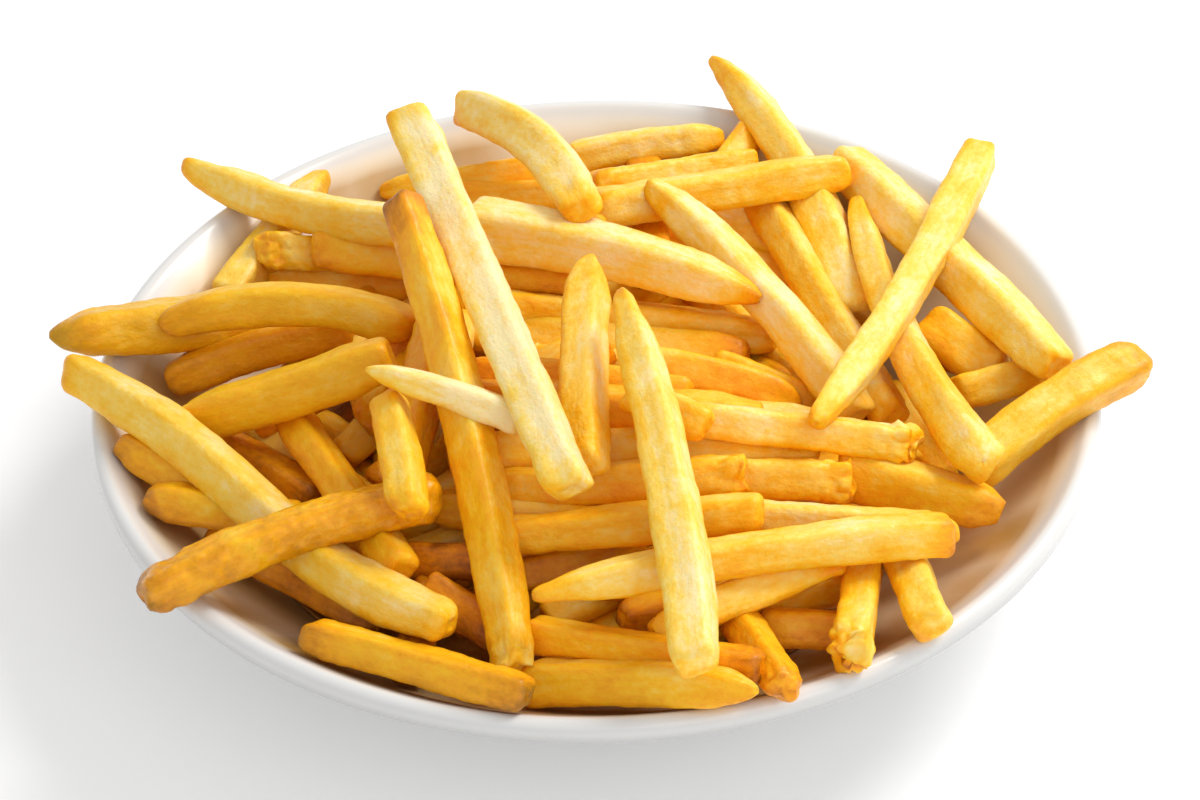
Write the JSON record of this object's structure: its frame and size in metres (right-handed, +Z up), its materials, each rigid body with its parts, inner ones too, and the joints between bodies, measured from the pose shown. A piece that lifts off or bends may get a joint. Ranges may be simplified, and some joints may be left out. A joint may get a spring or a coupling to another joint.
{
  "type": "french fries portion",
  "caption": "Heaped portion of thick-cut french fries in a shallow round white bowl with a rounded lip and a flat foot.",
  "frame": {"origin": "centre of the flat underside of the bowl's foot, at table height", "axes": "+Z up out of the bowl; -Y towards the diner; +X to the diner's right"},
  "size_m": [0.2296, 0.2167, 0.0811],
  "materials": {
    "bowl_glaze": "glossy white glaze",
    "fried_potato": "golden fried potato with a thin oily sheen"
  },
  "bodies": {
    "root": {"bowl": "bowl_glaze", "fries_heap": "fried_potato"}
  },
  "joints": []
}
